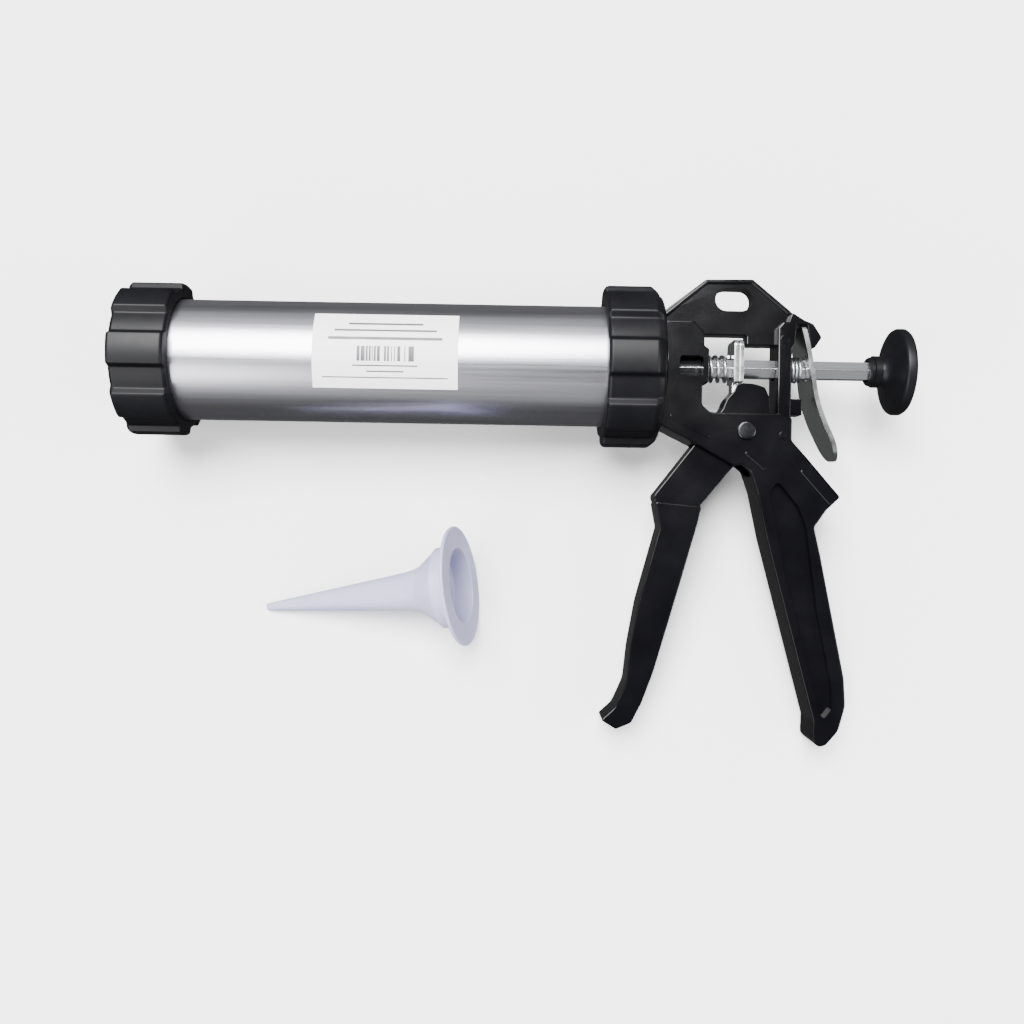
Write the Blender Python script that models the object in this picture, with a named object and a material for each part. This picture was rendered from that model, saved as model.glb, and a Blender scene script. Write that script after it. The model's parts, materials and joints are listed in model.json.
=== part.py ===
"""A closed-barrel caulking gun, lying on its right side with its loose nozzle beside it.

The gun is modelled in its own axes. X runs back along the barrel from the tube's rear end, Y points
from the handle up to the barrel, and Z out of the gun's left side. The empty gun_rest then rolls it
onto its collar and its handle, which is how it lies on a flat surface. All sizes are in metres.
"""

import math

import bmesh
import bpy
from mathutils import Matrix, Vector

MM = 0.001

# Gaps
TOUCH = 0.0003  # between pieces that rest on each other or are pressed together
RUNNING = 0.00035  # round a piece that slides or turns in another
THREAD = 0.00035  # round the tube, where plain walls stand in for the threads

# Barrel
TUBE_LENGTH = 0.2277
TUBE_RADIUS = 0.027
TUBE_WALL = 0.0012
LABEL_LENGTH = 0.0625
LABEL_FRONT = 0.082  # from the tube's front end
LABEL_LOW = math.radians(-30.7)  # angles from the gun's left side, up being positive
LABEL_HIGH = math.radians(41.8)
LABEL_THICKNESS = 0.0002

# Ring nuts: the front cap and the rear collar
LOBES = 8
LOBE_WIDTH = 0.013
LOBE_FLANK = 0.0016
COLLAR_WALL = 0.0066
COLLAR_LOBE_HEIGHT = 0.0027
COLLAR_LENGTH = 0.0252
CAP_WALL = 0.0045
CAP_LOBE_HEIGHT = 0.0027
CAP_LENGTH = 0.0246
LIP = 0.003
SEAL_THICKNESS = 0.001
SEAL_WIDTH = 0.0068

# Casting: flange, block and handle
FLANGE_THICKNESS = 0.0024
NECK_INSET = 0.009  # how much smaller than the tube the neck is
FRAME_HALF = 0.0105  # half the thickness of the block, cheeks and handle
PLATE_HALF = 0.004  # of the hang plate
POST_HALF = 0.008  # of the rear post
LUG_HALF = 0.0076  # of the hook over the lever's top edge
STUB_HALF = 0.0045
FRAME_EDGE = 0.0012
HANG_SLOT_LENGTH = 0.0168
HANG_SLOT_HEIGHT = 0.0102
HANG_SLOT_CENTRE = (0.0395, 0.0309)
POCKET_DEPTH = 0.003
SEAT_X = 0.0276  # rear face of the block, where the drive spring sits
POST_REAR = 0.065
HANDLE_REACH = 0.1685  # from the barrel's axis down to the end of the handle

# Rod and piston
ROD_ACROSS_FLATS = 0.008
ROD_FORWARD = 0.025  # how far the rod can still go forward
STUD_RADIUS = 0.003
KNOB_FRONT = 0.101
KNOB_RADIUS = 0.0195
KNOB_SOCKET = 0.010
BUSH_WALL = 0.0015
BUSH_LENGTH = 0.0135
BACKPLATE_THICKNESS = 0.002
CUP_LENGTH = 0.012
CUP_WALL = 0.003
WASHER_THICKNESS = 0.0015
WASHER_RADIUS = 0.012
NUT_THICKNESS = 0.005
NUT_ACROSS_FLATS = 0.010

# Drive
PLATE_THICKNESS = 0.002
PLATE_WIDTH = 0.016
PLATE_TOP = 0.0125
TONGUE_WIDTH = 0.0074
TONGUE_TIP = -0.016
DRIVE_WIRE = 0.0015
DRIVE_TURNS = 3
LEVER_WIRE = 0.0011
LEVER_TURNS = 2.5

# Trigger
PIVOT = (0.0446, -0.0285)
PIN_RADIUS = 0.0025
PIN_HEAD = 0.0041
PIN_HEAD_HEIGHT = 0.0012
CLIP_WALL = 0.0016
CLIP_THICKNESS = 0.0008
TRIGGER_HALF = 0.007
GRIP_HALF = 0.009
CAM_RADIUS = 0.003
CAM_RISE = 0.014  # of the cam's centre above the pivot
CAM_LEAN = math.radians(30)  # of the face above the cam, past the trigger's swing

# Release lever
LEVER_WIDTH = 0.0235
LEVER_THICKNESS = 0.0019

# Nozzle
NOZZLE_LENGTH = 0.096
NOZZLE_TIP_RADIUS = 0.0017
NOZZLE_STEP_RADIUS = 0.0182
NOZZLE_WALL = 0.0012
NOZZLE_RIM = 0.001  # from the flange's face to the front of its round rim
NOZZLE_HEADING = math.radians(6.0)
NOZZLE_PLACE = (-0.0815, -0.0996)  # its flange from the gun's origin, seen from above

# Values that follow from those above
ROD_CORNER = ROD_ACROSS_FLATS / 2 / math.cos(math.pi / 6)
ROD_HOLE = ROD_CORNER + RUNNING
THREAD_RADIUS = TUBE_RADIUS + THREAD
FLANGE_REAR = TOUCH + FLANGE_THICKNESS
COLLAR_REAR = FLANGE_REAR + TOUCH + LIP
COLLAR_RADIUS = TUBE_RADIUS + COLLAR_WALL
COLLAR_LOBE_RADIUS = COLLAR_RADIUS + COLLAR_LOBE_HEIGHT
CAP_RADIUS = TUBE_RADIUS + CAP_WALL
CAP_FACE = -(TUBE_LENGTH + TOUCH + SEAL_THICKNESS + TOUCH + LIP)
NECK_RADIUS = TUBE_RADIUS - NECK_INSET
BLOCK_FRONT = COLLAR_REAR + RUNNING
BUSH_RADIUS = ROD_HOLE + BUSH_WALL
BUSH_BORE = BUSH_RADIUS + TOUCH
DRIVE_COIL = ROD_HOLE + DRIVE_WIRE / 2
LEVER_COIL = ROD_HOLE + LEVER_WIRE / 2
PLATE_BOTTOM = -(DRIVE_COIL + DRIVE_WIRE / 2 + TOUCH / 2)
HEAD_RADIUS = PLATE_BOTTOM - TOUCH - PIVOT[1]
CAM_X = PIVOT[0] + 0.0023
PLATES_REAR = CAM_X - CAM_RADIUS - TOUCH
PLATES_FRONT = PLATES_REAR - 2 * PLATE_THICKNESS - TOUCH
NUT_FRONT = -TUBE_LENGTH + 0.001 + ROD_FORWARD
WASHER_FRONT = NUT_FRONT + NUT_THICKNESS + TOUCH
CUP_FRONT = WASHER_FRONT + WASHER_THICKNESS + TOUCH
BACKPLATE_FRONT = CUP_FRONT + CUP_LENGTH + TOUCH
STUD_END = BACKPLATE_FRONT + BACKPLATE_THICKNESS + TOUCH
BORE_RADIUS = TUBE_RADIUS - TUBE_WALL
NOZZLE_FLANGE_RADIUS = TUBE_RADIUS
CAP_MOUTH = NOZZLE_STEP_RADIUS + 2 * RUNNING
NOZZLE_TILT = math.atan2(NOZZLE_FLANGE_RADIUS - NOZZLE_TIP_RADIUS, NOZZLE_LENGTH - NOZZLE_RIM)
ROLL = math.asin((COLLAR_LOBE_RADIUS - FRAME_HALF) / HANDLE_REACH)

# Mesh fineness
CURVE_STEP = math.radians(24)  # on tight corners, and half of it on wide ones
WIDE_CORNER = 0.0029
ROUND_SIDES = 48
SMALL_SIDES = 24
COIL_STEPS = 18
WIRE_SIDES = 6
SMOOTH_ANGLE = math.radians(35)

# The release lever's middle line, from its top edge down, with the frame's side upright
LEVER_LINE = [
    (69.0, 18.4), (71.4, 8.5), (73.4, -2.1), (75.5, -14.0), (78.7, -23.4), (82.9, -32.6), (86.2, -41.4),
]  # fmt: skip


# ---------------------------------------------------------------- helpers


def clear_scene():
    for obj in list(bpy.data.objects):
        bpy.data.objects.remove(obj, do_unlink=True)


def finish(name, colour, roughness, metallic=0.0):
    """A Principled material, made once for each name."""
    made = bpy.data.materials.get(name)
    if made is None:
        made = bpy.data.materials.new(name)
        made.use_nodes = True
        shader = made.node_tree.nodes["Principled BSDF"]
        shader.inputs["Base Color"].default_value = (*colour, 1.0)
        shader.inputs["Roughness"].default_value = roughness
        shader.inputs["Metallic"].default_value = metallic
    return made


def satin_aluminium():
    return finish("satin_aluminium", (0.62, 0.63, 0.66), 0.34, 1.0)


def black_enamel():
    return finish("black_enamel", (0.012, 0.012, 0.014), 0.22)


def black_plastic():
    return finish("black_plastic", (0.016, 0.016, 0.018), 0.38)


def zinc_plate():
    return finish("zinc_plate", (0.66, 0.69, 0.68), 0.28, 1.0)


def rod_steel():
    return finish("rod_steel", (0.55, 0.57, 0.58), 0.3, 1.0)


def spring_steel():
    return finish("spring_steel", (0.48, 0.50, 0.52), 0.3, 1.0)


def seal_rubber():
    return finish("seal_rubber", (0.03, 0.03, 0.03), 0.7)


def piston_plastic():
    return finish("piston_plastic", (0.72, 0.72, 0.70), 0.45)


def label_paper():
    return finish("label_paper", (0.86, 0.86, 0.88), 0.5)


def nozzle_plastic():
    return finish("nozzle_plastic", (0.80, 0.82, 0.90), 0.35)


def rounded(corners, radius=0.0):
    """The outline in metres through corners in millimetres, each eased by its third value or by radius."""
    points = [Vector(corner[:2]) * MM for corner in corners]
    outline = []
    for i, corner in enumerate(corners):
        here = points[i]
        before = points[i - 1] - here
        after = points[(i + 1) % len(points)] - here
        size = (corner[2] if len(corner) > 2 else radius) * MM
        turn = math.pi - before.angle(after)
        reach = min(size * math.tan(turn / 2), 0.45 * min(before.length, after.length))
        if reach < TOUCH / 3:
            outline.append(here)
            continue
        start = here + before.normalized() * reach
        end = here + after.normalized() * reach
        steps = max(2, math.ceil(turn / CURVE_STEP * (2 if size > WIDE_CORNER else 1)))
        for k in range(steps + 1):
            t = k / steps
            outline.append(start * (1 - t) ** 2 + here * (2 * t * (1 - t)) + end * t**2)
    return outline


def arc(centre, radius, start, end, steps):
    """Points of a circle from one angle to another, in metres."""
    angles = [start + (end - start) * k / steps for k in range(steps + 1)]
    return [Vector((centre[0] + radius * math.cos(a), centre[1] + radius * math.sin(a))) for a in angles]


def object_from(name, bm, material, smooth=True):
    bmesh.ops.recalc_face_normals(bm, faces=bm.faces)
    mesh = bpy.data.meshes.new(name)
    bm.to_mesh(mesh)
    bm.free()
    if material:
        mesh.materials.append(material)
    if smooth:
        mesh.shade_smooth()
        mesh.set_sharp_from_angle(angle=SMOOTH_ANGLE)
    obj = bpy.data.objects.new(name, mesh)
    bpy.context.scene.collection.objects.link(obj)
    return obj


def prism(name, outline, low, high, material=None, edge=0.0, along_x=False):
    """An outline in X and Y drawn out along Z, or one in Y and Z drawn out along X, with eased rims."""
    bm = bmesh.new()
    base = bm.faces.new([bm.verts.new((u, v, low)) for u, v in outline])
    grown = bmesh.ops.extrude_face_region(bm, geom=[base])
    moved = [v for v in grown["geom"] if isinstance(v, bmesh.types.BMVert)]
    bmesh.ops.translate(bm, verts=moved, vec=(0, 0, high - low))
    bmesh.ops.recalc_face_normals(bm, faces=bm.faces)
    if edge:
        rims = [e for e in bm.edges if abs(e.verts[0].co.z - e.verts[1].co.z) < TOUCH / 10]
        shape = {"segments": 2, "profile": 0.5, "affect": "EDGES", "clamp_overlap": True}
        bmesh.ops.bevel(bm, geom=rims, offset=edge, **shape)
    if along_x:
        turn = Matrix(((0, 0, 1), (1, 0, 0), (0, 1, 0))).to_4x4()
        bmesh.ops.transform(bm, matrix=turn, verts=bm.verts)
    return object_from(name, bm, material)


def turned(name, profile, material=None, sides=ROUND_SIDES):
    """A profile of (x, radius) points turned about X, closed into a ring if it doesn't start on the axis."""
    bm = bmesh.new()
    rings = []
    for x, radius in profile:
        if radius == 0:
            rings.append([bm.verts.new((x, 0, 0))])
            continue
        angles = [2 * math.pi * k / sides for k in range(sides)]
        rings.append([bm.verts.new((x, radius * math.cos(a), radius * math.sin(a))) for a in angles])
    pairs = list(zip(rings, rings[1:]))
    if profile[0][1] > 0:
        pairs.append((rings[-1], rings[0]))
    for one, other in pairs:
        for k in range(sides):
            after = (k + 1) % sides
            if len(one) == 1:
                bm.faces.new((one[0], other[k], other[after]))
            elif len(other) == 1:
                bm.faces.new((one[k], other[0], one[after]))
            else:
                bm.faces.new((one[k], other[k], other[after], one[after]))
    return object_from(name, bm, material)


def bar(name, radius, low, high, centre=(0.0, 0.0), along_z=False, sides=SMALL_SIDES):
    """A plain round cutter, along X through (y, z), or along Z through (x, y)."""
    step = 2 * math.pi / sides
    circle = arc(centre, radius, step / 4, step / 4 + step * (sides - 1), sides - 1)
    return prism(name, circle, low, high, along_x=not along_z)


def coil(name, radius, wire, start, end, turns, material):
    """A wire wound round X from start to end, with flat cut ends."""
    bm = bmesh.new()
    count = round(COIL_STEPS * turns)
    rings = []
    for k in range(count + 1):
        a = 2 * math.pi * turns * k / count
        x = start + wire / 2 + (end - start - wire) * k / count
        out = Vector((0, math.cos(a), math.sin(a)))
        ring = []
        for j in range(WIRE_SIDES):
            b = 2 * math.pi * j / WIRE_SIDES
            across = wire / 2 * math.cos(b)
            along = wire / 2 * math.sin(b)
            ring.append(bm.verts.new(out * (radius + across) + Vector((x + along, 0, 0))))
        rings.append(ring)
    for one, other in zip(rings, rings[1:]):
        for j in range(WIRE_SIDES):
            after = (j + 1) % WIRE_SIDES
            bm.faces.new((one[j], other[j], other[after], one[after]))
    bm.faces.new(rings[0])
    bm.faces.new(rings[-1])
    return object_from(name, bm, material)


def lobed_ring(name, outside, bore, lobe_width, flank, material):
    """A ring nut along X.

    outside lists (x on a lobe, x between lobes, lobe radius, base radius), and bore lists (x, radius).
    """
    widest = max(station[2] for station in outside)
    half = lobe_width / 2 / widest
    edge = flank / widest
    pitch = 2 * math.pi / LOBES
    steps = ((-half, 1), (0, 1), (half, 1), (half + edge, 0), (pitch / 2, 0), (pitch - half - edge, 0))
    angles = [(math.pi / 2 + pitch * lobe + step, raised) for lobe in range(LOBES) for step, raised in steps]
    bm = bmesh.new()
    rings = []
    for x_lobe, x_base, lobe_radius, base_radius in outside:
        ring = []
        for a, raised in angles:
            x = x_lobe if raised else x_base
            radius = lobe_radius if raised else base_radius
            ring.append(bm.verts.new((x, radius * math.cos(a), radius * math.sin(a))))
        rings.append(ring)
    for x, radius in bore:
        rings.append([bm.verts.new((x, radius * math.cos(a), radius * math.sin(a))) for a, _ in angles])
    count = len(angles)
    for one, other in zip(rings, rings[1:] + rings[:1]):
        for k in range(count):
            after = (k + 1) % count
            bm.faces.new((one[k], other[k], other[after], one[after]))
    return object_from(name, bm, material)


def empty(name, parent=None, place=(0.0, 0.0, 0.0)):
    """An empty at a place given in the gun's axes. Pieces held by it turn or slide with it."""
    made = bpy.data.objects.new(name, None)
    made.empty_display_size = 0.01
    bpy.context.scene.collection.objects.link(made)
    made.parent = parent
    made["place"] = place
    made.location = Vector(place) - (Vector(parent["place"]) if parent else Vector())
    return made


def hold(obj, joint):
    """Gives a piece made in the gun's axes its origin on the joint, and its parent."""
    obj.data.transform(Matrix.Translation(-Vector(joint["place"])))
    obj.parent = joint


def helper(obj, joint):
    obj.hide_render = True
    obj.display_type = "WIRE"
    hold(obj, joint)


def cut(obj, joint, *cutters):
    for cutter in cutters:
        helper(cutter, joint)
        change = obj.modifiers.new("cut_" + cutter.name, "BOOLEAN")
        change.operation = "DIFFERENCE"
        change.solver = "EXACT"
        change.object = cutter


def join(obj, joint, *others):
    for other in others:
        helper(other, joint)
        change = obj.modifiers.new("join_" + other.name, "BOOLEAN")
        change.operation = "UNION"
        change.solver = "EXACT"
        change.object = other


# ---------------------------------------------------------------- barrel


def barrel_tube(joint):
    profile = [(-TUBE_LENGTH, BORE_RADIUS), (-TUBE_LENGTH, TUBE_RADIUS), (0, TUBE_RADIUS), (0, BORE_RADIUS)]
    hold(turned("barrel_tube", profile, satin_aluminium()), joint)


def barrel_label(joint):
    inner = TUBE_RADIUS + TOUCH
    low = math.pi / 2 - LABEL_HIGH
    high = math.pi / 2 - LABEL_LOW
    outline = arc((0, 0), inner + LABEL_THICKNESS, low, high, 12) + arc((0, 0), inner, high, low, 12)
    front = -TUBE_LENGTH + LABEL_FRONT
    hold(prism("barrel_label", outline, front, front + LABEL_LENGTH, label_paper(), along_x=True), joint)


def cap_seal(joint):
    rear = -TUBE_LENGTH - TOUCH
    front = rear - SEAL_THICKNESS
    inner = TUBE_RADIUS - SEAL_WIDTH
    profile = [(front, inner), (front, TUBE_RADIUS), (rear, TUBE_RADIUS), (rear, inner)]
    hold(turned("cap_seal", profile, seal_rubber()), joint)


def front_cap(joint):
    rear = CAP_FACE + CAP_LENGTH
    lobe = CAP_RADIUS + CAP_LOBE_HEIGHT
    ease = 0.0016
    proud = 0.0003
    outside = [
        (CAP_FACE, CAP_FACE, CAP_RADIUS - 2 * ease, CAP_RADIUS - 2 * ease),
        (CAP_FACE - proud, CAP_FACE, CAP_RADIUS - ease, CAP_RADIUS - ease),
        (CAP_FACE - proud, CAP_FACE + ease, lobe - ease, CAP_RADIUS),
        (CAP_FACE - proud + ease, CAP_FACE + 2 * ease, lobe, CAP_RADIUS),
        (rear - ease / 2, rear - ease / 2, lobe, CAP_RADIUS),
        (rear, rear, lobe - ease / 2, CAP_RADIUS - ease / 2),
    ]
    lip_rear = CAP_FACE + LIP
    bore = [(rear, THREAD_RADIUS), (lip_rear, THREAD_RADIUS), (lip_rear, CAP_MOUTH), (CAP_FACE, CAP_MOUTH)]
    hold(lobed_ring("front_cap", outside, bore, LOBE_WIDTH, LOBE_FLANK, black_plastic()), joint)


def rear_collar(joint):
    front = COLLAR_REAR - COLLAR_LENGTH
    ease = 0.0012
    taper = 0.0042
    outside = [
        (front, front, COLLAR_LOBE_RADIUS - ease, COLLAR_RADIUS - ease),
        (front + ease, front + ease, COLLAR_LOBE_RADIUS, COLLAR_RADIUS),
        (COLLAR_REAR - taper, COLLAR_REAR - taper, COLLAR_LOBE_RADIUS, COLLAR_RADIUS),
        (COLLAR_REAR - ease, COLLAR_REAR - ease, COLLAR_LOBE_RADIUS - 2 * ease, COLLAR_RADIUS - ease),
        (COLLAR_REAR, COLLAR_REAR, COLLAR_LOBE_RADIUS - 4 * ease, COLLAR_RADIUS - 2 * ease),
    ]
    lip_front = COLLAR_REAR - LIP
    lip_bore = NECK_RADIUS + RUNNING
    thread = [(lip_front, THREAD_RADIUS), (front, THREAD_RADIUS)]
    bore = [(COLLAR_REAR, lip_bore), (lip_front, lip_bore), *thread]
    hold(lobed_ring("rear_collar", outside, bore, LOBE_WIDTH, LOBE_FLANK, black_plastic()), joint)


# ---------------------------------------------------------------- casting


def body_outline():
    """Block, cheeks and handle, seen from the gun's left side."""
    front = BLOCK_FRONT / MM
    seat = SEAT_X / MM
    end = -HANDLE_REACH / MM
    return [
        (front, -26.8, 1.5), (21.3, -34.2, 3), (39.6, -44.4, 1.5), (43.2, -43.4, 2.5), (46.8, -46.6, 4),
        (50.2, -56.5, 12), (54.6, -76.8, 30), (67.0, -122.0, 60), (76.6, -157.2, 3), (76.5, -161.5, 1.5),
        (76.4, end + 2.6, 1.5), (78.8, end, 2), (82.0, end + 0.2, 4), (87.8, -161.5, 8), (90.8, -150.5, 10),
        (90.0, -138.0, 20), (78.5, -83.0, 40), (75.6, -71.0, 2.5), (81.0, -63.2, 1.5), (87.0, -57.4, 1.2),
        (71.2, -39.4, 3), (64.9, -32.6, 2), (64.9, -22.5, 1.5), (60.0, -20.6, 1.5), (28.6, -20.6, 3),
        (24.8, -17.3, 2), (24.8, -8.9, 1.2), (seat, -7.2, 1), (seat, 7.6, 1), (25.4, 9.0, 1),
        (25.4, 14.8, 1.5), (20.5, 20.0, 2), (front, 20.0, 1),
    ]  # fmt: skip


def plate_outline():
    """The hang plate, from the block over the window to the lever's lug."""
    front = BLOCK_FRONT / MM + 0.4
    return [
        (front, 12.5), (front, 24.6, 1), (26.8, 39.9, 3), (47.9, 40.3, 3), (70.2, 22.0, 1), (70.2, 19.8),
        (67.4, 19.8), (66.4, 10.0), (59.2, 8.0), (59.2, 10.4, 0.8), (45.5, 10.4, 0.8), (45.5, 14.8, 0.8),
        (25.0, 14.8, 0.8), (23.0, 12.5),
    ]  # fmt: skip


def post_outline():
    post_rear = POST_REAR / MM
    return [
        (58.7, -26.0), (58.7, 18.0, 1), (61.0, 20.6, 1), (67.5, 20.6), (66.4, 10.6, 2), (post_rear, 8.5, 1),
        (post_rear, -26.0),
    ]  # fmt: skip


def lug_outline():
    """The hook that holds the lever's top edge: a bridge over it and a nose behind it."""
    return [
        (65.0, 25.0, 1), (70.4, 21.6, 1), (74.4, 20.0, 1.5), (78.4, 14.0, 1.5), (75.2, 9.2, 1), (73.4, 9.2),
        (71.7, 19.4, 0.5), (63.0, 19.4),
    ]  # fmt: skip


def slot_outline():
    """The space between the cheeks in which the trigger swings."""
    return [
        (12.2, -46.9), (29.6, -24.0), (29.6, -12.0), (58.2, -12.0), (58.2, -33.5, 2), (49.0, -46.5, 2),
        (46.0, -52.0), (30.0, -62.0),
    ]  # fmt: skip


def pocket_outline():
    """The sunk web on each side of the handle, between a narrow front rim and a wide back one."""
    return [
        (55.0, -56.0, 4), (64.8, -101.3, 60), (76.6, -145.0, 6), (80.6, -157.0, 3), (84.6, -151.5, 3),
        (84.0, -140.0, 10), (77.4, -108.6, 40), (72.0, -71.0, 8), (68.5, -62.0, 5), (59.0, -50.5, 4),
    ]  # fmt: skip


def frame_casting(joint):
    outline = rounded(body_outline())
    body = prism("frame_casting", outline, -FRAME_HALF, FRAME_HALF, black_enamel(), FRAME_EDGE)
    pilot = ROD_HOLE / 2
    flange = [(TOUCH, pilot), (TOUCH, TUBE_RADIUS), (FLANGE_REAR, TUBE_RADIUS), (FLANGE_REAR, NECK_RADIUS)]
    neck = [(BLOCK_FRONT + 0.002, NECK_RADIUS), (BLOCK_FRONT + 0.002, pilot)]
    stub = [(64.0, -13.4, 0.8), (70.8, -13.4, 0.8), (70.8, -20.8, 0.8), (64.0, -20.8, 0.8)]
    join(
        body,
        joint,
        prism("frame_plate", rounded(plate_outline()), -PLATE_HALF, PLATE_HALF, edge=0.0008),
        prism("frame_post", rounded(post_outline()), -POST_HALF, POST_HALF, edge=0.0008),
        prism("frame_lug", rounded(lug_outline()), -LUG_HALF, LUG_HALF, edge=0.0008),
        prism("frame_stub", rounded(stub), -STUB_HALF, STUB_HALF, edge=0.0006),
        turned("frame_flange", flange + neck),
    )
    end = HANG_SLOT_HEIGHT / 2
    side = HANG_SLOT_LENGTH / 2 - end
    x, y = HANG_SLOT_CENTRE
    quarter = math.pi / 2
    hang = arc((x + side, y), end, -quarter, quarter, 12) + arc((x - side, y), end, quarter, 3 * quarter, 12)
    rod_gap = [(14.6, -4.6, 1.5), (25.0, -4.6, 1.5), (25.0, 4.6, 1.5), (14.6, 4.6, 1.5)]
    chamber_front = (BLOCK_FRONT + BUSH_LENGTH) / 2
    slot_half = TRIGGER_HALF + RUNNING
    over = 2 * FRAME_HALF
    cut(
        body,
        joint,
        prism("cut_slot", rounded(slot_outline()), -slot_half, slot_half),
        prism("cut_hang", hang, -over, over),
        prism("cut_rod_gap", rounded(rod_gap), -over, over),
        prism("cut_pocket_left", rounded(pocket_outline()), FRAME_HALF - POCKET_DEPTH, over),
        prism("cut_pocket_right", rounded(pocket_outline()), -over, -(FRAME_HALF - POCKET_DEPTH)),
        bar("cut_rod", ROD_HOLE, -0.01, POST_REAR + 0.01),
        bar("cut_bush", BUSH_BORE, -0.01, chamber_front),
        bar("cut_chamber", BUSH_BORE + RUNNING, chamber_front - 0.0005, 0.0248),
        bar("cut_pin", PIN_RADIUS + TOUCH, -over, over, PIVOT, along_z=True),
    )
    hold(body, joint)


def rod_bush(joint):
    front = 0.001
    rear = front + BUSH_LENGTH
    ease = 0.0006
    profile = [
        (front, ROD_HOLE), (front, BUSH_RADIUS - ease), (front + ease, BUSH_RADIUS),
        (rear - ease, BUSH_RADIUS), (rear, BUSH_RADIUS - ease), (rear, ROD_HOLE),
    ]  # fmt: skip
    hold(turned("rod_bush", profile, rod_steel(), SMALL_SIDES), joint)


def trigger_pin(joint):
    """Headed on the gun's left side, and grooved for its clip on the right."""
    ease = 0.0004
    left = FRAME_HALF + TOUCH
    top = left + PIN_HEAD_HEIGHT
    right = -(FRAME_HALF + 2 * TOUCH + CLIP_THICKNESS)
    end = right - 0.0012
    groove = PIN_RADIUS - 2 * TOUCH
    profile = [
        (end, 0), (end, PIN_RADIUS - ease), (end + ease, PIN_RADIUS), (right, PIN_RADIUS), (right, groove),
        (-left, groove), (-left, PIN_RADIUS), (left, PIN_RADIUS), (left, PIN_HEAD), (top - ease, PIN_HEAD),
        (top, PIN_HEAD - 2 * ease), (top, 0),
    ]  # fmt: skip
    pin = turned("trigger_pin", profile, rod_steel(), SMALL_SIDES)
    upright(pin)
    hold(pin, joint)


def pin_clip(joint):
    near = -(FRAME_HALF + TOUCH + TOUCH / 2)
    far = near - CLIP_THICKNESS
    inner = PIN_RADIUS - TOUCH
    outer = PIN_RADIUS + CLIP_WALL
    low = math.radians(32)
    high = 2 * math.pi - low
    around = arc(PIVOT, outer, low, high, 20) + arc(PIVOT, inner, high, low, 20)
    hold(prism("pin_clip", around, far, near, spring_steel()), joint)


def upright(obj):
    """Turns a piece made along X to stand along Z at the trigger's pivot."""
    turn = Matrix(((0, 0, -1), (0, 1, 0), (1, 0, 0))).to_4x4()
    obj.data.transform(Matrix.Translation((*PIVOT, 0)) @ turn)


# ---------------------------------------------------------------- trigger and drive


def trigger_arm_outline():
    """The forked head and the arm, down into the grip."""
    top = arc(PIVOT, HEAD_RADIUS, math.radians(100), math.radians(66), 4)
    head = [(point.x / MM, point.y / MM) for point in top]
    return [
        (4.2, -58.4, 2.5), (34.8, -18.6, 2), (36.4, -14.4, 2), (39.6, -10.6, 1.5), *head,
        (55.4, -13.0, 2), (56.6, -26.0, 4), (51.6, -36.4, 5), (39.3, -44.9, 8), (25.8, -61.4, 1),
        (24.2, -66.0, 0.5), (7.4, -66.0, 0.5),
    ]  # fmt: skip


def grip_outline():
    return [
        (5.0, -60.8, 1), (25.6, -62.6, 1), (23.8, -70.6, 8), (16.0, -99.2, 60), (5.3, -136.8, 60),
        (0.3, -150.6, 10), (-4.2, -159.6, 3), (-11.1, -162.6, 1.5), (-17.6, -158.6, 0.8),
        (-11.6, -153.0, 6), (-6.8, -142.0, 12), (-5.3, -126.7, 20), (-1.8, -106.0, 40), (7.2, -72.2, 3),
    ]  # fmt: skip


def trigger(joint):
    outline = rounded(trigger_arm_outline())
    arm = prism("trigger", outline, -TRIGGER_HALF, TRIGGER_HALF, black_enamel(), 0.0009)
    grip = prism("trigger_grip", rounded(grip_outline()), -GRIP_HALF, GRIP_HALF, edge=0.0024)
    join(arm, joint, grip)
    cam = (CAM_X, PIVOT[1] + CAM_RISE)
    low = cam[1] - CAM_RADIUS
    face = arc(cam, CAM_RADIUS, math.radians(225), math.pi - CAM_LEAN, 5)
    over = 0.012
    lean_end = (face[-1].x + over * math.sin(CAM_LEAN), face[-1].y + over * math.cos(CAM_LEAN))
    space = [(face[0].x, low), *face, lean_end, (0.030, lean_end[1]), (0.030, low)]
    tongue_half = TONGUE_WIDTH / 2 + RUNNING
    cut(
        arm,
        joint,
        prism("cut_tongue", space, -tongue_half, tongue_half),
        bar("cut_trigger_pin", PIN_RADIUS + RUNNING, -0.02, 0.02, PIVOT, along_z=True),
    )
    hold(arm, joint)


def drive_plate(name, rear, joint):
    """A plate with a hole for the rod and a tongue that reaches down into the trigger's fork."""
    half = PLATE_WIDTH / 2 / MM
    tongue = TONGUE_WIDTH / 2 / MM
    top = PLATE_TOP / MM
    bottom = PLATE_BOTTOM / MM
    tip = TONGUE_TIP / MM
    outline = [
        (top, -half, 3), (top, half, 3), (bottom, half, 0.5), (bottom, tongue), (tip, tongue, 0.8),
        (tip, -tongue, 0.8), (bottom, -tongue), (bottom, -half, 0.5),
    ]  # fmt: skip
    plate = prism(name, rounded(outline), rear - PLATE_THICKNESS, rear, zinc_plate(), 0.0002, along_x=True)
    cut(plate, joint, bar("cut_" + name, ROD_HOLE, rear - 0.01, rear + 0.01))
    hold(plate, joint)


def drive_spring(joint):
    start = SEAT_X + TOUCH
    end = PLATES_FRONT - TOUCH
    hold(coil("drive_spring", DRIVE_COIL, DRIVE_WIRE, start, end, DRIVE_TURNS, spring_steel()), joint)


# ---------------------------------------------------------------- release lever


def lever_front(y):
    """X of the lever's front face at a height on its upper, straight part."""
    (x0, y0), (x1, y1) = LEVER_LINE[1], LEVER_LINE[2]
    slope = (x1 - x0) / (y1 - y0)
    middle = x0 * MM + slope * (y - y0 * MM)
    return middle - LEVER_THICKNESS / 2 * math.hypot(1, slope)


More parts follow.
